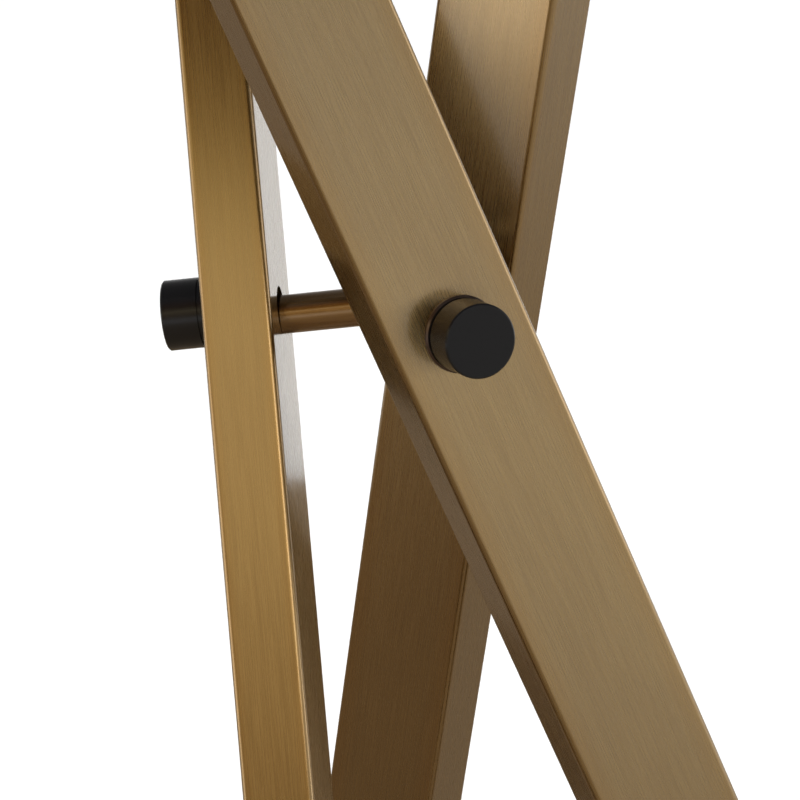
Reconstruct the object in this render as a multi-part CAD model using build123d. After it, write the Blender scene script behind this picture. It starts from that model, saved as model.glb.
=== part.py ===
"""Cheval floor mirror: three flat tubes twisted about a waist joint, with a round mirror
hung between the upper ends of the two front tubes.

Millimetres, +Z up, the mirror faces -Y and tilts about X. The model is built around the
stand's vertical axis and then slid so that the origin is the middle of its plan, on the floor.
"""
from build123d import *
from math import atan2, cos, degrees, radians, sin, sqrt, tan
import os

# Flat tube of the three uprights
tube_width = 50
tube_depth = 25
tube_wall = 2
tube_corner = 2.2
least_corner = 0.4         # sharpest inner corner of the tube

# Stand: every upright leans sideways by the same angle and passes the axis at the waist
lean = 17.7
waist_height = 680
waist_radius = 51.5        # stand's axis to the middle of a tube
front_step = 120           # front left upright to front right upright, about the axis
rear_step = 117            # front left upright to rear upright, the other way round
pivot_height = 1640
slip = 0.2                 # gap between an insert and the tube round it

# Waist joint
spreader_diameter = 14
spreader_play = 1.7        # radial, in the tube's hole; the spreader rests at the bottom of it
rear_spreader_rise = 1.7   # the rear spreader sits this much higher than the front ones
rear_knob_rise = 3.8       # the rear knob sits this much above the waist
front_knob_drop = 0.9      # and the front knobs this much below it
hub_wall = 3.2             # hub beyond the spreaders, sideways and up and down
block_length = 44
block_web = 1.6            # left between the spreader's bore and the stud's
stud_diameter = 8
stud_play = 0.3            # radial, in the tube's outer wall and the collar
stud_grip = 8
fixed_gap = 0.02           # radial gap round a part that is glued or screwed in

# Knobs, the same at the waist and at the mirror
knob_diameter = 25.4
knob_length = 14.9
knob_rim = 0.5
knob_groove = 0.8
knob_groove_low = 0.9      # along the knob from its foot
knob_groove_high = 1.9
knob_socket = 10
collar_overhang = 0.65     # collar beyond the knob, all round
collar_thickness = 1.6
collar_rim = 0.6

# Feet and caps
pad_thickness = 3
pad_inset = 1.5
foot_flange = 4
plug_depth = 42
cap_flange = 3
cap_depth = 20
edge_round = 1

# Pivot heads on the front uprights
head_gap = 40              # tube end to the mirror's axis, along the tube
head_flange = 6
stem_diameter = 19
barrel_diameter = 32
barrel_length = 38
barrel_round = 1.5
head_screw_diameter = 4
head_screw_length = 12
head_screw_cap = 8
head_screw_cap_height = 2
head_screw_places = (15, 33)

# Mirror pivots
pivot_diameter = 12
running_gap = 0.05         # radial, in a bush or on a thread
bush_wall = 1.5
washer_diameter = 26
washer_thickness = 2
washer_play = 0.4
face_gap = 0.15            # between faces that turn past each other
boss_diameter = 24

# Mirror
ring_clearance = 7.5       # between the ring and the uprights, all the way round as it turns
ring_wall = 6
ring_lip = 8
ring_lip_thickness = 4
ring_round = 1.5
gasket_thickness = 1
glass_thickness = 5
glass_arris = 0.8
felt_thickness = 1
board_thickness = 11
glass_gap = 0.5            # round the glass, felt and board
gasket_overhang = 1
clip_count = 6
clip_width = 12
clip_length = 20
clip_thickness = 1.5
clip_round = 2.4
clip_screw_diameter = 3
clip_screw_length = 8
clip_head_diameter = 5.6
clip_head_height = 1.8

# Worked out from the values above
lean_angle = radians(lean)
pivot_rise = pivot_height - waist_height
pivot_reach = sqrt(waist_radius ** 2 + (pivot_rise * tan(lean_angle)) ** 2)
pivot_half_span = pivot_reach * sin(radians(front_step / 2))
pivot_y = -pivot_reach * cos(radians(front_step / 2))
left_azimuth = degrees(atan2(pivot_rise * tan(lean_angle), waist_radius)) - front_step / 2
pivot_along = pivot_rise / cos(lean_angle)
tube_top = pivot_along - head_gap
foot_cut = pad_thickness + foot_flange
foot_along = -waist_height / cos(lean_angle)
cavity_depth = tube_depth - 2 * tube_wall
cavity_width = tube_width - 2 * tube_wall
spreader_seat = spreader_diameter / 2      # from the stand's axis
spreader_grip = cavity_depth - 2 * slip - stud_grip - block_web
collar_diameter = knob_diameter + 2 * collar_overhang
ring_depth = ring_lip_thickness + gasket_thickness + glass_thickness + felt_thickness + board_thickness
barrel_inner = pivot_half_span - barrel_length / 2
barrel_outer = pivot_half_span + barrel_length / 2
boss_end = barrel_inner - washer_thickness - face_gap
far = 3000                 # longer than anything here, for cutting

azimuths = {
    "front_left": left_azimuth,
    "front_right": left_azimuth + front_step,
    "rear": left_azimuth - rear_step,
}


def leg_plane(azimuth):
    """Frame of an upright: X outward, Y across its wide face, Z up along it, from the waist."""
    a = radians(azimuth)
    outward = Vector(sin(a), -cos(a), 0)
    sideways = Vector(cos(a), sin(a), 0)
    up = Vector(0, 0, 1) * cos(lean_angle) - sideways * sin(lean_angle)
    return Plane(origin=outward * waist_radius + Vector(0, 0, waist_height), x_dir=outward, z_dir=up)


leg_planes = {name: leg_plane(azimuth) for name, azimuth in azimuths.items()}
legs = {name: plane.location for name, plane in leg_planes.items()}
mirror_place = Plane(origin=(0, pivot_y, pivot_height), x_dir=(1, 0, 0), z_dir=(0, -1, 0)).location


def swing_room(plane):
    """Distance from the middle of the mirror to the surface of an upright."""
    centre = plane.to_local_coords(Vector(0, pivot_y, pivot_height))
    beside_depth = max(abs(centre.X) - tube_depth / 2, 0)
    beside_width = max(abs(centre.Y) - tube_width / 2, 0)
    return sqrt(beside_depth ** 2 + beside_width ** 2)


ring_radius = min(swing_room(plane) for plane in leg_planes.values()) - ring_clearance
rabbet_radius = ring_radius - ring_wall


def bar(inset, low, high):
    """Prism with the tube's outline drawn in by an inset, between two places along an upright."""
    corner = max(tube_corner - inset, least_corner)
    outline = RectangleRounded(tube_depth - 2 * inset, tube_width - 2 * inset, corner)
    return Pos(0, 0, low) * extrude(outline, high - low)


def level(low, high):
    """Slab between two heights above the floor."""
    return Pos(0, 0, (low + high) / 2) * Box(far, far, high - low)


def across(radius, start, end):
    """Round rod along local X."""
    return Pos((start + end) / 2, 0, 0) * Rot(0, 90, 0) * Cylinder(radius, end - start)


def lifted(height):
    """Shift straight up, in an upright's frame."""
    return Pos(0, height * sin(lean_angle), height * cos(lean_angle))


def hole_place(name):
    """Middle of the spreader's hole in the inner wall."""
    return lifted(rear_spreader_rise if name == "rear" else 0)


def spreader_place(name):
    """The spreader's own line, at the bottom of its hole."""
    return lifted(-spreader_play) * hole_place(name)


def knob_place(name):
    """The line of the knob and its stud through the outer wall."""
    return lifted(rear_knob_rise if name == "rear" else -front_knob_drop)


def turned(points):
    """Solid of revolution about local X from (along, radius) points."""
    outline = Plane.XY * make_face(Polyline(*points, close=True))
    return revolve(outline, Axis.X)


# Uprights and what closes them

def upright(name):
    tube = bar(0, foot_along - tube_width, tube_top)
    tube -= bar(tube_wall, foot_along - 2 * tube_width, tube_top + 1)
    tube -= hole_place(name) * across(spreader_diameter / 2 + spreader_play, -tube_depth, 0)
    tube -= knob_place(name) * across(stud_diameter / 2 + stud_play, 0, tube_depth)
    if name != "rear":
        for down in head_screw_places:
            tube -= Pos(0, 0, tube_top - down) * across(head_screw_diameter / 2 + slip, -tube_depth, 0)
    return (legs[name] * tube) & level(foot_cut, far)


def foot_plug(name):
    stem = bar(tube_wall + slip, foot_along - tube_width, foot_along + plug_depth)
    flange = bar(0, foot_along - tube_width, foot_along + tube_width)
    stem = legs[name] * stem & level(foot_cut, far)
    return stem + (legs[name] * flange & level(pad_thickness, foot_cut))


def foot_pad(name):
    pad = bar(pad_inset, foot_along - tube_width, foot_along + tube_width)
    return legs[name] * pad & level(0, pad_thickness)


def top_cap(name):
    flange = bar(0, tube_top, tube_top + cap_flange)
    flange = fillet(flange.faces().sort_by(Axis.Z)[-1].edges(), edge_round)
    return legs[name] * (flange + bar(tube_wall + slip, tube_top - cap_depth, tube_top))


# Waist joint

def waist_hub():
    hub_height = spreader_diameter + rear_spreader_rise + 2 * hub_wall
    hub = Cylinder(spreader_diameter / 2 + hub_wall, hub_height)
    hub = fillet(hub.edges().filter_by(GeomType.CIRCLE), edge_round)
    hub = Pos(0, 0, waist_height - spreader_play + rear_spreader_rise / 2) * hub
    socket = across(spreader_diameter / 2 + fixed_gap, spreader_seat - waist_radius, 0)
    for name, place in legs.items():
        hub -= place * spreader_place(name) * socket
    return hub


def spreader(name):
    inner = spreader_seat - waist_radius
    outer = -tube_depth / 2 + tube_wall + 2 * slip + spreader_grip
    return legs[name] * spreader_place(name) * across(spreader_diameter / 2, inner, outer)


def waist_block(name):
    outline = RectangleRounded(cavity_depth - 2 * slip, cavity_width - 2 * slip, edge_round)
    block = Pos(slip, 0, -block_length / 2) * extrude(outline, block_length)
    inner_face = -cavity_depth / 2 + 2 * slip
    bore = across(spreader_diameter / 2 + fixed_gap, inner_face - 1, inner_face + spreader_grip)
    tapping = across(stud_diameter / 2 + fixed_gap, cavity_depth / 2 - stud_grip, cavity_depth / 2 + 1)
    return legs[name] * (block - spreader_place(name) * bore - knob_place(name) * tapping)


def waist_stud(name):
    inner = cavity_depth / 2 - stud_grip
    outer = tube_depth / 2 + collar_thickness + knob_socket
    return legs[name] * knob_place(name) * across(stud_diameter / 2, inner, outer)


def knob(thread_gap):
    """Black knob on local X, its foot at zero, with a blind threaded hole."""
    r = knob_diameter / 2
    body = turned([
        (0, 0), (0, r), (knob_groove_low, r), (knob_groove_low, r - knob_groove),
        (knob_groove_high, r - knob_groove), (knob_groove_high, r),
        (knob_length - knob_rim, r), (knob_length, r - knob_rim), (knob_length, 0)])
    return body - across(stud_diameter / 2 + thread_gap, -1, knob_socket + slip)


def collar():
    """Thin washer under a knob, with a turned edge, on local X."""
    r = collar_diameter / 2
    washer = turned([
        (0, 0), (0, r), (collar_thickness - collar_rim, r),
        (collar_thickness, r - collar_rim), (collar_thickness, 0)])
    return washer - across(stud_diameter / 2 + stud_play, -1, collar_thickness + 1)


def waist_knob(name):
    return legs[name] * knob_place(name) * Pos(tube_depth / 2 + collar_thickness, 0, 0) * knob(fixed_gap)


def waist_collar(name):
    return legs[name] * knob_place(name) * Pos(tube_depth / 2, 0, 0) * collar()


# Pivots. A side frame has X outward from the mirror's centre, along its axis.

sides = {
    "left": Plane(origin=(0, pivot_y, pivot_height), x_dir=(-1, 0, 0), z_dir=(0, 0, 1)).location,
    "right": Plane(origin=(0, pivot_y, pivot_height), x_dir=(1, 0, 0), z_dir=(0, 0, 1)).location,
}


def pivot_head(side):
    place = legs["front_" + side]
    stem = Pos(0, 0, (tube_top + pivot_along) / 2) * Cylinder(stem_diameter / 2, pivot_along - tube_top)
    flange = bar(0, tube_top, tube_top + head_flange)
    flange = fillet(flange.faces().sort_by(Axis.Z)[-1].edges(), edge_round)
    plug = bar(tube_wall + slip, tube_top - plug_depth, tube_top)
    for down in head_screw_places:
        inner_face = -tube_depth / 2 + tube_wall + slip
        radius = head_screw_diameter / 2 + fixed_gap
        hole = across(radius, inner_face - 1, inner_face + head_screw_length)
        plug -= Pos(0, 0, tube_top - down) * hole
    barrel = across(barrel_diameter / 2, barrel_inner, barrel_outer)
    barrel = fillet(barrel.edges().filter_by(GeomType.CIRCLE), barrel_round)
    head = place * (stem + flange + plug) + sides[side] * barrel
    bore_radius = pivot_diameter / 2 + running_gap + bush_wall + fixed_gap
    return head - sides[side] * across(bore_radius, barrel_inner - 1, barrel_outer + 1)


def head_screw(side, down):
    face = -tube_depth / 2
    shank = across(head_screw_diameter / 2, face, face + head_screw_length)
    cap = across(head_screw_cap / 2, face - head_screw_cap_height, face)
    cap = fillet(cap.faces().sort_by(Axis.X)[0].edges(), edge_round)
    return legs["front_" + side] * Pos(0, 0, tube_top - down) * (shank + cap)


def pivot_bush(side):
    inner = pivot_diameter / 2 + running_gap
    sleeve = across(inner + bush_wall, barrel_inner, barrel_outer)
    return sides[side] * (sleeve - across(inner, barrel_inner - 1, barrel_outer + 1))


def friction_washer(side):
    washer = across(washer_diameter / 2, barrel_inner - washer_thickness, barrel_inner)
    bore_radius = pivot_diameter / 2 + washer_play
    return sides[side] * (washer - across(bore_radius, barrel_inner - tube_depth, barrel_inner + 1))


def pivot_boss(side):
    boss = across(boss_diameter / 2, rabbet_radius, boss_end)
    boss -= Rot(90, 0, 0) * Cylinder(ring_radius, 2 * boss_diameter)
    bore_radius = pivot_diameter / 2 + fixed_gap
    return sides[side] * (boss - across(bore_radius, rabbet_radius - 1, boss_end + 1))


def pivot_rod(side):
    rod = across(pivot_diameter / 2, ring_radius + 1, barrel_outer - face_gap)
    spigot = across(stud_diameter / 2, rabbet_radius + 1, ring_radius + 1)
    thread_end = barrel_outer + face_gap + collar_thickness + knob_socket
    thread = across(stud_diameter / 2, barrel_outer - face_gap, thread_end)
    return sides[side] * (rod + spigot + thread)


def pivot_knob(side):
    return sides[side] * Pos(barrel_outer + face_gap + collar_thickness, 0, 0) * knob(running_gap)


def pivot_collar(side):
    return sides[side] * Pos(barrel_outer + face_gap, 0, 0) * collar()


# Mirror. Its frame has X right, Y up and Z towards the viewer, from the middle of the ring.

def disc(radius, low, high):
    return Pos(0, 0, (low + high) / 2) * Cylinder(radius, high - low)


ring_front = ring_depth / 2
lip_back = ring_front - ring_lip_thickness
glass_front = lip_back - gasket_thickness
glass_back = glass_front - glass_thickness
board_front = glass_back - felt_thickness
clip_radius = rabbet_radius + ring_wall / 2
clip_angles = [360 / clip_count * (i + 0.5) for i in range(clip_count)]


def mirror_ring():
    band = disc(ring_radius, -ring_front, ring_front)
    band = fillet(band.edges().filter_by(GeomType.CIRCLE), ring_round)
    opening = disc(rabbet_radius - ring_lip, lip_back - 1, ring_front + 1)
    ring = band - opening - disc(rabbet_radius, -ring_front - 1, lip_back)
    lip_edge = ring.edges().filter_by(GeomType.CIRCLE).filter_by(
        lambda e: abs(e.radius - rabbet_radius + ring_lip) < 0.1).sort_by(Axis.Z)[-1]
    ring = fillet(lip_edge, ring_round)
    for angle in clip_angles:
        radius = clip_screw_diameter / 2 + fixed_gap
        hole = disc(radius, -ring_front - 1, -ring_front + clip_screw_length)
        ring -= Rot(0, 0, angle) * Pos(clip_radius, 0, 0) * hole
    return mirror_place * ring - cross_hole()


def cross_hole():
    """The two holes through the ring for the pivot rods' spigots."""
    return sides["right"] * across(stud_diameter / 2 + fixed_gap, -ring_radius - 1, ring_radius + 1)


def mirror_gasket():
    outer = disc(rabbet_radius - glass_gap, glass_front, lip_back)
    opening = disc(rabbet_radius - ring_lip + gasket_overhang, glass_front - 1, lip_back + 1)
    return mirror_place * (outer - opening)


def mirror_glass():
    glass = disc(rabbet_radius - glass_gap, glass_back, glass_front)
    return mirror_place * chamfer(glass.edges().filter_by(GeomType.CIRCLE), glass_arris)


def mirror_felt():
    return mirror_place * disc(rabbet_radius - 2 * glass_gap, board_front, glass_back)


def backing_board():
    return mirror_place * disc(rabbet_radius - glass_gap, -ring_front, board_front)


def back_clip(angle):
    outer = clip_radius + clip_round
    blank = Box(clip_length, clip_width, clip_thickness)
    blank = fillet(blank.edges().filter_by(Axis.Z), clip_round)
    blank = Pos(outer - clip_length / 2, 0, -ring_front - clip_thickness / 2) * blank
    hole = Pos(clip_radius, 0, 0) * disc(clip_screw_diameter / 2 + slip, -ring_depth, ring_depth)
    return mirror_place * Rot(0, 0, angle) * (blank - hole)


def clip_screw(angle):
    clip_back = -ring_front - clip_thickness
    shank = disc(clip_screw_diameter / 2, clip_back, clip_back + clip_screw_length)
    head = disc(clip_head_diameter / 2, clip_back - clip_head_height, clip_back)
    head = fillet(head.faces().sort_by(Axis.Z)[0].edges(), edge_round)
    return mirror_place * Rot(0, 0, angle) * Pos(clip_radius, 0, 0) * (shank + head)


pieces = {}
for name in legs:
    pieces[name + "_upright"] = upright(name)
    pieces["foot_plug_" + name] = foot_plug(name)
    pieces["foot_pad_" + name] = foot_pad(name)
    pieces["spreader_" + name] = spreader(name)
    pieces["waist_block_" + name] = waist_block(name)
    pieces["waist_knob_" + name] = waist_knob(name)
pieces["rear_top_cap"] = top_cap("rear")
pieces["waist_hub"] = waist_hub()
pieces["waist_studs"] = Compound([waist_stud(name) for name in legs])
pieces["waist_collars"] = Compound([waist_collar(name) for name in legs])
for side in sides:
    pieces["pivot_head_" + side] = pivot_head(side)
    pieces["pivot_bush_" + side] = pivot_bush(side)
    pieces["friction_washer_" + side] = friction_washer(side)
    pieces["pivot_boss_" + side] = pivot_boss(side)
    pieces["pivot_rod_" + side] = pivot_rod(side)
    pieces["pivot_collar_" + side] = pivot_collar(side)
    pieces["pivot_knob_" + side] = pivot_knob(side)
pieces["head_screws"] = Compound([
    head_screw(side, down) for side in sides for down in head_screw_places])
pieces["mirror_ring"] = mirror_ring()
pieces["mirror_gasket"] = mirror_gasket()
pieces["mirror_glass"] = mirror_glass()
pieces["mirror_felt"] = mirror_felt()
pieces["backing_board"] = backing_board()
pieces["back_clips"] = Compound([back_clip(angle) for angle in clip_angles])
pieces["clip_screws"] = Compound([clip_screw(angle) for angle in clip_angles])

# Slide everything so that the origin is the middle of the plan
boxes = [piece.bounding_box() for piece in pieces.values()]
middle_x = (min(b.min.X for b in boxes) + max(b.max.X for b in boxes)) / 2
middle_y = (min(b.min.Y for b in boxes) + max(b.max.Y for b in boxes)) / 2
centring = Pos(-middle_x, -middle_y, 0)

os.makedirs("parts", exist_ok=True)
for node, piece in pieces.items():
    export_step(centring * piece, "parts/" + node + ".step")
print("stand axis at", round(-middle_x, 3), round(-middle_y, 3))
print("mirror axis at y", round(pivot_y - middle_y, 3), "z", pivot_height)
print("pivot half span", round(pivot_half_span, 3), "left azimuth", round(left_azimuth, 3))
print("barrel outer", round(barrel_outer, 3), "ring radius", round(ring_radius, 3))
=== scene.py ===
import math
import bpy
import bmesh
from mathutils import Matrix, Vector


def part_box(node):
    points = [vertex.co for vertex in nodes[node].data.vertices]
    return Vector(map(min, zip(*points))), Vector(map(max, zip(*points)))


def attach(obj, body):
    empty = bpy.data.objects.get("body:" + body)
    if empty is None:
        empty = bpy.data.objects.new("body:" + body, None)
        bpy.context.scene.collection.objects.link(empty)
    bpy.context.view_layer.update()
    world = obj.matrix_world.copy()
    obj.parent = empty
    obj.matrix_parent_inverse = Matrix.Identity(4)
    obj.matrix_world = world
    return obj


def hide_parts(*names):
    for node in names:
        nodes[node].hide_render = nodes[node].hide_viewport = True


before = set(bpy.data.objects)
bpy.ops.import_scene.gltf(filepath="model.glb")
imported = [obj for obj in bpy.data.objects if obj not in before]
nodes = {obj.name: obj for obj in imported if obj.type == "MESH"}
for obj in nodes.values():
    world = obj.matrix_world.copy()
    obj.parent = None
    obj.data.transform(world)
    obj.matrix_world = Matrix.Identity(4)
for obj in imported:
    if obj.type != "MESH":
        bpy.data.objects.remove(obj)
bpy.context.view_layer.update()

legNames = ["front_left", "front_right", "rear"]
sideNames = ["left", "right"]
print("frame loaded:", len(nodes), "CAD nodes")


def middle(nodeName):
    low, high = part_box(nodeName)
    return (low + high) / 2


waist = middle("waist_hub")
mirrorMiddle = middle("mirror_ring")
blockMiddles = {n: middle("waist_block_" + n) for n in legNames}
# An upright's own line: from the middle of its foot pad through the block at its waist
legLines = {n: (middle("waist_block_" + n) - middle("foot_pad_" + n)).normalized() for n in legNames}


def outward(name):
    # level, from the stand's axis to the upright's wide face
    reach = (blockMiddles[name] - waist) * Vector((1, 1, 0))
    return reach.normalized()


def addObject(name, data):
    obj = bpy.data.objects.new(name, data)
    bpy.context.scene.collection.objects.link(obj)
    return obj


def aimed(place, target):
    # stands at the place and looks at the target, as cameras and area lights do along -Z
    return Matrix.Translation(place) @ (target - place).to_track_quat("-Z", "Y").to_matrix().to_4x4()


# Camera: just off the stand's middle, above the waist, rolled a little
camera = {
    "offset": Vector((-0.0068, -0.9445, 0.1970)),  # from the waist, metres
    "aim": Vector((-0.0003, 0.0, -0.0349)),        # from the waist
    "roll": -7.04,                                 # degrees
    "lens": 121.1,                                 # mm
    "sensor": 36,                                  # mm
    "nearest": 0.05,                               # metres
    "farthest": 200,
}


def makeCamera():
    data = bpy.data.cameras.new("camera")
    data.lens = camera["lens"]
    data.sensor_width = camera["sensor"]
    data.clip_start = camera["nearest"]
    data.clip_end = camera["farthest"]
    obj = addObject("camera", data)
    roll = Matrix.Rotation(math.radians(camera["roll"]), 4, "Z")
    obj.matrix_world = aimed(waist + camera["offset"], waist + camera["aim"]) @ roll
    bpy.context.scene.camera = obj


makeCamera()
print("camera placed")


def linear(hexColour):
    # sRGB hex to the linear values that the shader wants
    parts = [int(hexColour[i:i + 2], 16) / 255 for i in (1, 3, 5)]
    return tuple(c / 12.92 if c <= 0.04045 else ((c + 0.055) / 1.055) ** 2.4 for c in parts) + (1.0,)


def newMaterial(name):
    mat = bpy.data.materials.new(name)
    mat.use_nodes = True
    tree = mat.node_tree
    return mat, tree, tree.nodes["Principled BSDF"]


def add(tree, kind, links=None, **settings):
    # one node, its settings, and what feeds its sockets: {socket: (node, output) or a plain value}
    node = tree.nodes.new(kind)
    for key, value in settings.items():
        setattr(node, key, value)
    for socket, source in (links or {}).items():
        if isinstance(source, tuple) and hasattr(source[0], "outputs"):
            tree.links.new(source[0].outputs[source[1]], node.inputs[socket])
        else:
            node.inputs[socket].default_value = source
    return node


def setShader(shader, **values):
    for key, value in values.items():
        shader.inputs[key.replace("_", " ")].default_value = value


def feed(tree, shader, **links):
    # what varies over the surface: Base_Color=(node, output)
    for key, (node, output) in links.items():
        tree.links.new(node.outputs[output], shader.inputs[key.replace("_", " ")])


def dress(nodeName, mat):
    obj = nodes[nodeName]
    obj.data.materials.clear()
    obj.data.materials.append(mat)


def ramp(tree, source, stops):
    node = add(tree, "ShaderNodeValToRGB", {"Fac": source})
    for i, (place, colour) in enumerate(stops):
        element = node.color_ramp.elements[i] if i < 2 else node.color_ramp.elements.new(place)
        element.position = place
        element.color = colour
    return node


# Brass: flat bar, brushed along its length, stained to an antique tone and lacquered
brass = {
    "tube": {"dark": "#786240", "light": "#8A744E", "roughness": 0.27},
    # the drawn rod is painted darker and redder than the rolled tube: painted shade, for the darker
    # surroundings that it mirrors
    "rod": {"dark": "#74562F", "light": "#84663C", "roughness": 0.23},
    "toneSpan": (0.33, 0.67),       # of the noise, from the dark tone to the light one
    "edge": "#84632F",              # painted shade: the colour turns darker and redder towards the corners
    "cornerShadeStart": 0.6,               # share of the half width where the painted corner shade begins
    "cornerShadeShare": 0.4,
    "tubeHalf": (0.0125, 0.025),    # metres, half the tube's depth and width
    "ringRadius": 0.22,             # metres, for the length of the brushing round the mirror
    "scratchWidth": 0.35,           # mm; real scratches are 0.05 mm, drawn coarse enough to show
    "scratchLength": 20,            # mm
    "bandWidth": 2.1,               # mm, where the brush pressed harder
    "bandLength": 60,
    "cloudWidth": 60,               # mm, slow change of the stain
    "cloudLength": 120,
    "shares": (0.45, 0.2, 0.35),    # of scratches, bands and cloud in the tone
    "scratchSpan": (0.3, 0.7),      # of the noise, from the smoothest line to the roughest
    "smoother": 0.03,               # how far the lines leave the mean roughness, each way
    "rougher": 0.04,
    "bump": 0.012,
    "scratchDepth": 0.2,            # mm
    "anisotropy": 0.85,
    "lacquer": 0.8,                 # a clear coat that turns white at a grazing look
    "lacquerRoughness": 0.12,
}


def lineCoordinates(tree, centre, along, side):
    # object coordinates turned so that Z runs along the brushing and X along the given side
    place = add(tree, "ShaderNodeTexCoord")
    local = add(tree, "ShaderNodeVectorMath", {0: (place, "Object"), 1: centre}, operation="SUBTRACT")
    parts = []
    for axis in (side, along.cross(side), along):
        parts.append(add(tree, "ShaderNodeVectorMath", {0: (local, 0), 1: axis}, operation="DOT_PRODUCT"))
    return add(tree, "ShaderNodeCombineXYZ", {
        "X": (parts[0], "Value"), "Y": (parts[1], "Value"), "Z": (parts[2], "Value")})


def ringCoordinates(tree, centre):
    # Z is the way round the mirror as a length, X the radius, Y the depth
    place = add(tree, "ShaderNodeTexCoord")
    local = add(tree, "ShaderNodeVectorMath", {0: (place, "Object"), 1: centre}, operation="SUBTRACT")
    parts = add(tree, "ShaderNodeSeparateXYZ", {"Vector": (local, 0)})
    angle = add(tree, "ShaderNodeMath", {0: (parts, "Z"), 1: (parts, "X")}, operation="ARCTAN2")
    arc = add(tree, "ShaderNodeMath", {0: (angle, 0), 1: brass["ringRadius"]}, operation="MULTIPLY")
    square = add(tree, "ShaderNodeCombineXYZ", {"X": (parts, "X"), "Z": (parts, "Z")})
    radius = add(tree, "ShaderNodeVectorMath", {0: (square, 0)}, operation="LENGTH")
    return add(tree, "ShaderNodeCombineXYZ", {
        "X": (radius, "Value"), "Y": (parts, "Y"), "Z": (arc, 0)})


def streaks(tree, local, width, length):
    # noise drawn out to a real width and length in millimetres
    scale = (1000 / width, 1000 / width, 1000 / length)
    stretch = add(tree, "ShaderNodeVectorMath", {0: (local, 0), 1: scale}, operation="MULTIPLY")
    return add(tree, "ShaderNodeTexNoise", {"Vector": (stretch, 0), "Scale": 1.0, "Detail": 2.0})


def paintedCornerShade(tree, local, colour):
    # painted shade, darker and redder at the tube's corners: depth and width as shares of the tube's halves
    # add up to two only at its corners
    size = add(tree, "ShaderNodeVectorMath", {0: (local, 0)}, operation="ABSOLUTE")
    shares = (1 / brass["tubeHalf"][0], 1 / brass["tubeHalf"][1], 0)
    reach = add(tree, "ShaderNodeVectorMath", {0: (size, 0), 1: shares}, operation="DOT_PRODUCT")
    share = add(tree, "ShaderNodeMapRange", {
        "Value": (reach, "Value"), "From Min": 1 + brass["cornerShadeStart"], "From Max": 2.0,
        "To Max": brass["cornerShadeShare"]})
    return add(tree, "ShaderNodeMix", {
        "Factor": (share, "Result"), 6: (colour, "Color"), 7: linear(brass["edge"])}, data_type="RGBA")


def brushedBrass(name, centre, along=None, side=None, bar="tube"):
    # fine lines run along the brushing and spread the light across it; with no line given,
    # they run round the mirror, and with a side given, the corners get a painted shade, darker and redder
    mat, tree, shader = newMaterial(name)
    if along:
        local = lineCoordinates(tree, centre, along, side or along.orthogonal().normalized())
        axis = along
    else:
        local = ringCoordinates(tree, centre)
        axis = (add(tree, "ShaderNodeTangent", direction_type="RADIAL", axis="Y"), 0)
    lines = streaks(tree, local, brass["scratchWidth"], brass["scratchLength"])
    bands = streaks(tree, local, brass["bandWidth"], brass["bandLength"])
    cloud = streaks(tree, local, brass["cloudWidth"], brass["cloudLength"])
    three = add(tree, "ShaderNodeCombineXYZ", {
        "X": (lines, "Fac"), "Y": (bands, "Fac"), "Z": (cloud, "Fac")})
    tone = add(tree, "ShaderNodeVectorMath", {0: (three, 0), 1: brass["shares"]}, operation="DOT_PRODUCT")
    metal = brass[bar]
    low, high = brass["toneSpan"]
    colour = ramp(tree, (tone, "Value"), [(low, linear(metal["dark"])), (high, linear(metal["light"]))])
    if side:
        feed(tree, shader, Base_Color=(paintedCornerShade(tree, local, colour), 2))
    else:
        feed(tree, shader, Base_Color=(colour, "Color"))
    low, high = brass["scratchSpan"]
    rough = add(tree, "ShaderNodeMapRange", {
        "Value": (lines, "Fac"), "From Min": low, "From Max": high,
        "To Min": metal["roughness"] - brass["smoother"],
        "To Max": metal["roughness"] + brass["rougher"]})
    bump = add(tree, "ShaderNodeBump", {
        "Height": (lines, "Fac"), "Strength": brass["bump"], "Distance": brass["scratchDepth"] / 1000})
    geometry = add(tree, "ShaderNodeNewGeometry")
    tangent = add(tree, "ShaderNodeVectorMath", {0: (geometry, "Normal"), 1: axis}, operation="CROSS_PRODUCT")
    feed(tree, shader, Roughness=(rough, "Result"), Normal=(bump, "Normal"), Tangent=(tangent, 0))
    setShader(shader, Metallic=1.0, Anisotropic=brass["anisotropy"],
              Coat_Weight=brass["lacquer"], Coat_Roughness=brass["lacquerRoughness"])
    return mat


for name in legNames:
    dress(name + "_upright", brushedBrass(
        "brushed antique brass " + name, blockMiddles[name], legLines[name], outward(name)))
    dress("spreader_" + name, brushedBrass(
        "drawn antique brass rod " + name, waist, outward(name), bar="rod"))
dress("mirror_ring", brushedBrass("brushed antique brass ring", mirrorMiddle))
turnedBrass = brushedBrass("turned antique brass", mirrorMiddle, Vector((1, 0, 0)))
for name in ["waist_hub", "back_clips"]:
    dress(name, turnedBrass)
for name in sideNames:
    dress("pivot_head_" + name, turnedBrass)
    dress("pivot_boss_" + name, turnedBrass)


# Knobs: black anodised aluminium
anodised = {
    "dark": "#060607",
    "light": "#0B0A0D",
    "grain": 0.25,          # mm, bead-blast pits, drawn coarse enough to show
    "bump": 0.04,
    "depth": 0.1,           # mm
    "roughness": 0.26,
    "endIor": 1.27,         # the end is blasted and matt
    "sideIor": 1.38,        # the turned side is smoother and mirrors the brass beside it
    "endFacing": 0.95,      # how squarely a face looks outward to count as the end
}

# Collars under the knobs: gunmetal
gunmetal = {
    "dark": "#4C403B",
    "light": "#5C4F49",
    "cloud": 4,             # mm
    "roughness": 0.3,
}


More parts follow.
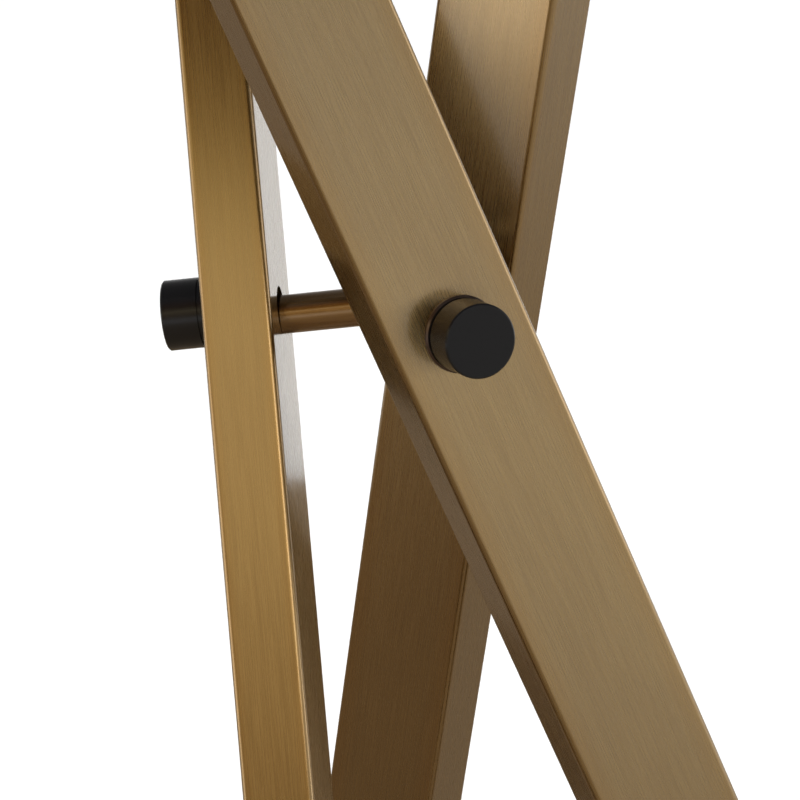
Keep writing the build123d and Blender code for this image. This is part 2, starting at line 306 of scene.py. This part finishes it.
def blackAnodised(name, ior):
    # dyed oxide on aluminium: nearly black, it only brightens at a grazing look
    mat, tree, shader = newMaterial(name)
    place = add(tree, "ShaderNodeTexCoord")
    grain = add(tree, "ShaderNodeTexNoise", {
        "Vector": (place, "Object"), "Scale": 1000 / anodised["grain"], "Detail": 2.0})
    colour = ramp(tree, (grain, "Fac"), [
        (0.3, linear(anodised["dark"])), (0.7, linear(anodised["light"]))])
    bump = add(tree, "ShaderNodeBump", {
        "Height": (grain, "Fac"), "Strength": anodised["bump"], "Distance": anodised["depth"] / 1000})
    feed(tree, shader, Base_Color=(colour, "Color"), Normal=(bump, "Normal"))
    setShader(shader, Roughness=anodised["roughness"], IOR=ior)
    return mat


def gunmetalPlate():
    # black nickel plate: a dark mirror, a little uneven in its depth
    mat, tree, shader = newMaterial("gunmetal plate")
    place = add(tree, "ShaderNodeTexCoord")
    haze = add(tree, "ShaderNodeTexNoise", {
        "Vector": (place, "Object"), "Scale": 1000 / gunmetal["cloud"], "Detail": 3.0})
    colour = ramp(tree, (haze, "Fac"), [
        (0.3, linear(gunmetal["dark"])), (0.7, linear(gunmetal["light"]))])
    feed(tree, shader, Base_Color=(colour, "Color"))
    setShader(shader, Metallic=1.0, Roughness=gunmetal["roughness"])
    return mat


def dressKnob(nodeName, axis):
    # the face that looks outward is the matt end, the rest is the turned side
    dress(nodeName, knobSide)
    mesh = nodes[nodeName].data
    mesh.materials.append(knobEnd)
    for face in mesh.polygons:
        face.material_index = 1 if face.normal.dot(axis) > anodised["endFacing"] else 0


knobSide = blackAnodised("black anodised turned side", anodised["sideIor"])
knobEnd = blackAnodised("black anodised blasted end", anodised["endIor"])
collarMetal = gunmetalPlate()
for name in legNames:
    dressKnob("waist_knob_" + name, outward(name))
for name, across in (("left", -1), ("right", 1)):
    dressKnob("pivot_knob_" + name, Vector((across, 0, 0)))
    dress("pivot_collar_" + name, collarMetal)
dress("waist_collars", collarMetal)


# The plainer finishes: patterns in millimetres, drawn coarse where the real one is too fine
nylon = {"dark": "#0E0E0F", "light": "#171718", "grain": 0.4, "roughness": 0.5}
rubber = {"dark": "#151515", "light": "#202020", "grain": 0.6, "roughness": 0.8}
bushNylon = {"dark": "#D5D1C6", "light": "#E4E1D8", "grain": 0.5, "roughness": 0.4}
moulded = {"haze": 100 / 9, "spread": 0.08, "bump": 0.15, "depth": 0.1}
zinc = {"dark": "#A8A9A6", "light": "#C9CAC8", "cloud": 10 / 3, "smoothest": 0.2, "roughest": 0.4}
silvering = {"dark": "#EBF0ED", "light": "#F2F5F3", "film": 500 / 7, "smoothest": 0.004, "roughest": 0.03}
board = {"dark": "#1B1A19", "light": "#262422", "fibre": 10 / 7, "twist": 1.5, "haze": 250 / 3,
         "bump": 0.25, "depth": 0.3, "roughness": 0.75}
felt = {"dark": "#3C3B39", "light": "#605E5A", "wool": 2 / 3, "roughness": 0.95, "sheen": 0.3}


def pittedPlastic(name, look):
    # moulded nylon or rubber: a fine spark-eroded grain with a soft, even sheen
    mat, tree, shader = newMaterial(name)
    place = add(tree, "ShaderNodeTexCoord")
    grain = add(tree, "ShaderNodeTexVoronoi", {"Vector": (place, "Object"), "Scale": 1000 / look["grain"]})
    haze = add(tree, "ShaderNodeTexNoise", {
        "Vector": (place, "Object"), "Scale": 1000 / moulded["haze"], "Detail": 3.0})
    colour = ramp(tree, (haze, "Fac"), [(0.3, linear(look["dark"])), (0.7, linear(look["light"]))])
    rough = add(tree, "ShaderNodeMapRange", {
        "Value": (haze, "Fac"), "To Min": look["roughness"] - moulded["spread"],
        "To Max": look["roughness"] + moulded["spread"]})
    bump = add(tree, "ShaderNodeBump", {
        "Height": (grain, "Distance"), "Strength": moulded["bump"], "Distance": moulded["depth"] / 1000})
    feed(tree, shader, Base_Color=(colour, "Color"), Roughness=(rough, "Result"), Normal=(bump, "Normal"))
    return mat


def zincSteel():
    # bright zinc plate over turned steel: cool grey with a faint cloudiness
    mat, tree, shader = newMaterial("zinc plated steel")
    place = add(tree, "ShaderNodeTexCoord")
    cloud = add(tree, "ShaderNodeTexNoise", {
        "Vector": (place, "Object"), "Scale": 1000 / zinc["cloud"], "Detail": 4.0})
    colour = ramp(tree, (cloud, "Fac"), [(0.35, linear(zinc["dark"])), (0.65, linear(zinc["light"]))])
    rough = add(tree, "ShaderNodeMapRange", {
        "Value": (cloud, "Fac"), "To Min": zinc["smoothest"], "To Max": zinc["roughest"]})
    feed(tree, shader, Base_Color=(colour, "Color"), Roughness=(rough, "Result"))
    setShader(shader, Metallic=1.0)
    return mat


def silveredGlass():
    # float glass silvered behind: an even, bright reflection with a trace of green
    mat, tree, shader = newMaterial("silvered float glass")
    place = add(tree, "ShaderNodeTexCoord")
    film = add(tree, "ShaderNodeTexNoise", {
        "Vector": (place, "Object"), "Scale": 1000 / silvering["film"], "Detail": 4.0})
    colour = ramp(tree, (film, "Fac"), [
        (0.3, linear(silvering["dark"])), (0.7, linear(silvering["light"]))])
    rough = add(tree, "ShaderNodeMapRange", {
        "Value": (film, "Fac"), "From Min": 0.55, "From Max": 0.8,
        "To Min": silvering["smoothest"], "To Max": silvering["roughest"]})
    feed(tree, shader, Base_Color=(colour, "Color"), Roughness=(rough, "Result"))
    setShader(shader, Metallic=1.0)
    return mat


def paintedBoard():
    # sprayed fibreboard: matt black with short fibres just raised by the paint
    mat, tree, shader = newMaterial("black painted fibreboard")
    place = add(tree, "ShaderNodeTexCoord")
    fibre = add(tree, "ShaderNodeTexNoise", {
        "Vector": (place, "Object"), "Scale": 1000 / board["fibre"], "Detail": 4.0,
        "Distortion": board["twist"]})
    haze = add(tree, "ShaderNodeTexNoise", {
        "Vector": (place, "Object"), "Scale": 1000 / board["haze"], "Detail": 3.0})
    colour = ramp(tree, (haze, "Fac"), [(0.3, linear(board["dark"])), (0.7, linear(board["light"]))])
    bump = add(tree, "ShaderNodeBump", {
        "Height": (fibre, "Fac"), "Strength": board["bump"], "Distance": board["depth"] / 1000})
    feed(tree, shader, Base_Color=(colour, "Color"), Normal=(bump, "Normal"))
    setShader(shader, Roughness=board["roughness"])
    return mat


def pressedFelt():
    # wool felt: soft, with no gloss and a pale fuzz at its edge
    mat, tree, shader = newMaterial("grey wool felt")
    place = add(tree, "ShaderNodeTexCoord")
    wool = add(tree, "ShaderNodeTexNoise", {
        "Vector": (place, "Object"), "Scale": 1000 / felt["wool"], "Detail": 4.0})
    colour = ramp(tree, (wool, "Fac"), [(0.3, linear(felt["dark"])), (0.7, linear(felt["light"]))])
    feed(tree, shader, Base_Color=(colour, "Color"))
    setShader(shader, Roughness=felt["roughness"], Sheen_Weight=felt["sheen"])
    return mat


blackNylon = pittedPlastic("black moulded nylon", nylon)
charcoalRubber = pittedPlastic("charcoal rubber", rubber)
naturalNylon = pittedPlastic("natural nylon", bushNylon)
steel = zincSteel()
dress("rear_top_cap", blackNylon)
dress("mirror_gasket", charcoalRubber)
dress("waist_studs", steel)
for name in legNames:
    dress("foot_plug_" + name, blackNylon)
    dress("foot_pad_" + name, charcoalRubber)
    dress("waist_block_" + name, steel)
for name in sideNames:
    dress("friction_washer_" + name, blackNylon)
    dress("pivot_bush_" + name, naturalNylon)
    dress("pivot_rod_" + name, steel)
dress("mirror_glass", silveredGlass())
dress("mirror_felt", pressedFelt())
dress("backing_board", paintedBoard())
print("finishes made")


# Screws: button heads with a hexagon socket, in place of the CAD's plain ones
screws = {
    "segments": 48,
    "edge": 0.5,            # share of the head's height that its rounded edge takes
    "edgeSteps": 6,
    "socketAcross": 0.36,   # socket's width across flats over the head's diameter
    "socketDepth": 0.6,     # share of the head's height
    "smooth": 35,           # degrees, sharper turns than this stay crisp
    "join": 0.000005,       # metres, points of the CAD's faces closer than this are one
    "widest": 0.99,         # share of the head's radius that still counts as its widest
    "clear": 0.001,         # metres below the head, where only the shank is left
}


def islands(nodeName):
    # the points of each separate solid in a CAD node, whose faces come unjoined
    bm = bmesh.new()
    bm.from_mesh(nodes[nodeName].data)
    bmesh.ops.remove_doubles(bm, verts=bm.verts, dist=screws["join"])
    left, found = set(bm.verts), []
    for start in bm.verts:
        if start not in left:
            continue
        left.discard(start)
        group, front = [], [start]
        while front:
            vert = front.pop()
            group.append(vert.co.copy())
            for link in vert.link_edges:
                other = link.other_vert(vert)
                if other in left:
                    left.discard(other)
                    front.append(other)
        found.append(group)
    bm.free()
    return found


def measure(points, axis):
    # where a screw stands and how big it is, from the points of the plain one
    centre = sum(points, Vector()) / len(points)
    heights = [(point - centre).dot(axis) for point in points]
    reaches = [(point - centre).cross(axis).length for point in points]
    radius = max(reaches)
    seat = min(h for h, r in zip(heights, reaches) if r > radius * screws["widest"])
    shank = max(r for h, r in zip(heights, reaches) if h < seat - screws["clear"])
    return centre + axis * seat, radius, max(heights) - seat, shank, seat - min(heights)


def screwRings(radius, height, shank, length):
    # (place along the axis, reach at an angle) from the shank's tip over the head to the socket
    flat = radius * screws["socketAcross"]
    edge = height * screws["edge"]
    deep = height * (1 - screws["socketDepth"])

    def hexagon(angle):
        return flat / math.cos(angle % (math.pi / 3) - math.pi / 6)

    def circle(reach):
        return lambda angle: reach

    rings = [(-length, circle(shank)), (0.0, circle(shank))]
    rings += [(0.0, circle(radius)), (height - edge, circle(radius))]
    for step in range(1, screws["edgeSteps"] + 1):
        turn = math.pi / 2 * step / screws["edgeSteps"]
        inset = edge * (1 - math.cos(turn))
        rings.append((height - edge * (1 - math.sin(turn)), circle(radius - inset)))
    return rings + [(height, hexagon), (deep, hexagon)]


def addScrew(bm, seat, axis, rings):
    side = axis.orthogonal().normalized()
    third = axis.cross(side)
    count = screws["segments"]
    loops = []
    for rise, reach in rings:
        loop = []
        for i in range(count):
            angle = math.tau * i / count
            out = (side * math.cos(angle) + third * math.sin(angle)) * reach(angle)
            loop.append(bm.verts.new(seat + axis * rise + out))
        loops.append(loop)
    for low, high in zip(loops, loops[1:]):
        for i in range(count):
            j = (i + 1) % count
            bm.faces.new((low[i], low[j], high[j], high[i]))
    bm.faces.new(loops[-1])
    bm.faces.new(list(reversed(loops[0])))


def makeScrews(nodeName, bodyName, axisOf):
    bm = bmesh.new()
    for points in islands(nodeName):
        axis = axisOf(sum(points, Vector()) / len(points))
        seat, radius, height, shank, length = measure(points, axis)
        addScrew(bm, seat, axis, screwRings(radius, height, shank, length))
    mesh = bpy.data.meshes.new(nodeName + "_detailed")
    bm.to_mesh(mesh)
    bm.free()
    mesh.shade_smooth()
    mesh.set_sharp_from_angle(angle=math.radians(screws["smooth"]))
    mesh.materials.append(steel)
    obj = addObject(nodeName + "_detailed", mesh)
    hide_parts(nodeName)
    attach(obj, bodyName)


def headAxis(centre):
    # the heads are on the inner faces of the front uprights
    return -outward("front_left" if centre.x < waist.x else "front_right")


makeScrews("head_screws", "stand", headAxis)
makeScrews("clip_screws", "mirror", lambda centre: Vector((0, 1, 0)))
print("screws made")


# Studio: white floor and wall, soft boxes at the sides, and a warm low glow in front
studio = {
    "floor": "#F4F6F8",
    "floorHalf": 40,        # metres
    "floorRoughness": 0.9,
    "floorGlow": 0.2,
    "wallRadius": 39,       # metres
    "wallHeight": 40,
    # brightness of the sky as (sine of the height above the horizon, level)
    "sky": [(0.0, 0.62), (0.3, 0.6), (0.5, 0.25), (1.0, 0.2)],
    # the glow's colour by the same sine
    "glow": [(0.0, "#8E816C"), (0.24, "#A0875F"), (0.40, "#FFF0C4"), (0.437, "#FFEBAA"),
             (0.457, "#3F200A"), (0.6, "#6E4A2A")],
    "glowGain": 1.8,
    "glowToward": Vector((-0.29, -0.957, 0)),
    "glowSpan": (0.55, 0.8),    # cosine off that direction where the glow starts and is full
    "sun": 2.3,
    "sunAngle": 35,         # degrees, so that the shadows are soft
    "sunTurn": (28, -12),   # degrees, about X and Y
}

# Cloth: metres from the stand's axis, and its colours along a slope to the front right
cloth = {
    "corners": [(-3.5, -2.4), (2.0, -2.4), (2.0, 2.2), (0.0, 2.2), (-1.2, 5.0), (-3.5, 5.0)],
    "height": 0.001,
    "slope": Vector((0.75, -0.5, 0)),
    "span": (-0.6, 1.3),    # metres along the slope
    "tones": [(0.0, "#92806A"), (0.6, "#B6A995"), (1.0, "#F0F0EE")],
}

# Soft boxes: place from the waist, width and height in metres, brightness and colour
softboxes = {
    "left_softbox": (Vector((-3.0, -0.4, 0.44)), 1.6, 1.45, 2.3, "#FFF3DC"),
    "right_softbox": (Vector((3.0, -0.1, 0.2)), 1.5, 1.5, 2.4, "#FFFFFF"),
    "front_right_softbox": (Vector((1.56, -3.06, 1.05)), 1.2, 0.84, 5.5, "#FFF6E0"),
}


def flatSheet(name, corners):
    mesh = bpy.data.meshes.new(name)
    mesh.from_pydata(corners, [], [tuple(range(len(corners)))])
    return addObject(name, mesh)


def makeFloor():
    half = studio["floorHalf"]
    floor = flatSheet("studio_floor", [
        (-half, -half, 0), (half, -half, 0), (half, half, 0), (-half, half, 0)])
    mat, tree, shader = newMaterial("matt white floor")
    setShader(shader, Base_Color=linear(studio["floor"]), Roughness=studio["floorRoughness"],
              Emission_Color=linear("#FFFFFF"), Emission_Strength=studio["floorGlow"])
    floor.data.materials.append(mat)


def makeBackdrop():
    # a white wall all round that only the camera sees, so that low views have no grey horizon
    bm = bmesh.new()
    radius = studio["wallRadius"]
    bmesh.ops.create_cone(bm, segments=96, radius1=radius, radius2=radius, depth=studio["wallHeight"] * 2)
    mesh = bpy.data.meshes.new("studio_backdrop")
    bm.to_mesh(mesh)
    bm.free()
    wall = addObject("studio_backdrop", mesh)
    for ray in ("diffuse", "glossy", "transmission", "shadow"):
        setattr(wall, "visible_" + ray, False)
    mat, tree, shader = newMaterial("lit white wall")
    setShader(shader, Base_Color=linear("#000000"), Specular_IOR_Level=0.0,
              Emission_Color=linear("#FFFFFF"), Emission_Strength=1.0)
    mesh.materials.append(mat)


def makeCloth():
    # a grey cloth round the feet that only reflections see, paler towards the front right
    sheet = flatSheet("floor_cloth", [
        (waist.x + x, waist.y + y, cloth["height"]) for x, y in cloth["corners"]])
    for ray in ("camera", "shadow", "diffuse"):
        setattr(sheet, "visible_" + ray, False)
    mat, tree, shader = newMaterial("grey floor cloth")
    place = add(tree, "ShaderNodeTexCoord")
    slope = add(tree, "ShaderNodeVectorMath", {
        0: (place, "Object"), 1: cloth["slope"]}, operation="DOT_PRODUCT")
    share = add(tree, "ShaderNodeMapRange", {
        "Value": (slope, "Value"), "From Min": cloth["span"][0], "From Max": cloth["span"][1]})
    tone = ramp(tree, (share, "Result"), [(x, linear(colour)) for x, colour in cloth["tones"]])
    feed(tree, shader, Base_Color=(tone, "Color"))
    setShader(shader, Roughness=1.0, Specular_IOR_Level=0.0)
    sheet.data.materials.append(mat)


def makeWorld():
    world = bpy.data.worlds.new("studio")
    world.use_nodes = True
    tree = world.node_tree
    place = add(tree, "ShaderNodeTexCoord")
    parts = add(tree, "ShaderNodeSeparateXYZ", {"Vector": (place, "Generated")})
    sky = ramp(tree, (parts, "Z"), [(z, (level, level, level, 1.0)) for z, level in studio["sky"]])
    glow = ramp(tree, (parts, "Z"), [(z, linear(colour)) for z, colour in studio["glow"]])
    gain = add(tree, "ShaderNodeVectorMath", {
        0: (glow, "Color"), "Scale": studio["glowGain"]}, operation="SCALE")
    facing = add(tree, "ShaderNodeVectorMath", {
        0: (place, "Generated"), 1: studio["glowToward"]}, operation="DOT_PRODUCT")
    share = add(tree, "ShaderNodeMapRange", {
        "Value": (facing, "Value"), "From Min": studio["glowSpan"][0], "From Max": studio["glowSpan"][1]})
    both = add(tree, "ShaderNodeMix", {
        "Factor": (share, "Result"), 6: (sky, "Color"), 7: (gain, 0)}, data_type="RGBA")
    feed(tree, tree.nodes["Background"], Color=(both, 2))
    bpy.context.scene.world = world


def makeSun():
    # lights the floor only softly from above, and no metal mirrors it
    data = bpy.data.lights.new("overhead_sun", "SUN")
    data.energy = studio["sun"]
    data.angle = math.radians(studio["sunAngle"])
    obj = addObject("overhead_sun", data)
    obj.rotation_euler = [math.radians(turn) for turn in studio["sunTurn"]] + [0]
    obj.visible_glossy = False


def makeSoftbox(name, offset, width, height, brightness, colour):
    # brightness is what a reflection of the box shows, so its power follows from its area
    data = bpy.data.lights.new(name, "AREA")
    data.shape = "RECTANGLE"
    data.size = width
    data.size_y = height
    data.energy = brightness * math.pi * width * height
    data.color = linear(colour)[:3]
    obj = addObject(name, data)
    obj.matrix_world = aimed(waist + offset, waist)
    obj.visible_camera = False


makeFloor()
makeBackdrop()
makeCloth()
makeWorld()
makeSun()
for name, values in softboxes.items():
    makeSoftbox(name, *values)
bpy.context.scene.view_settings.view_transform = "Standard"
print("studio made")
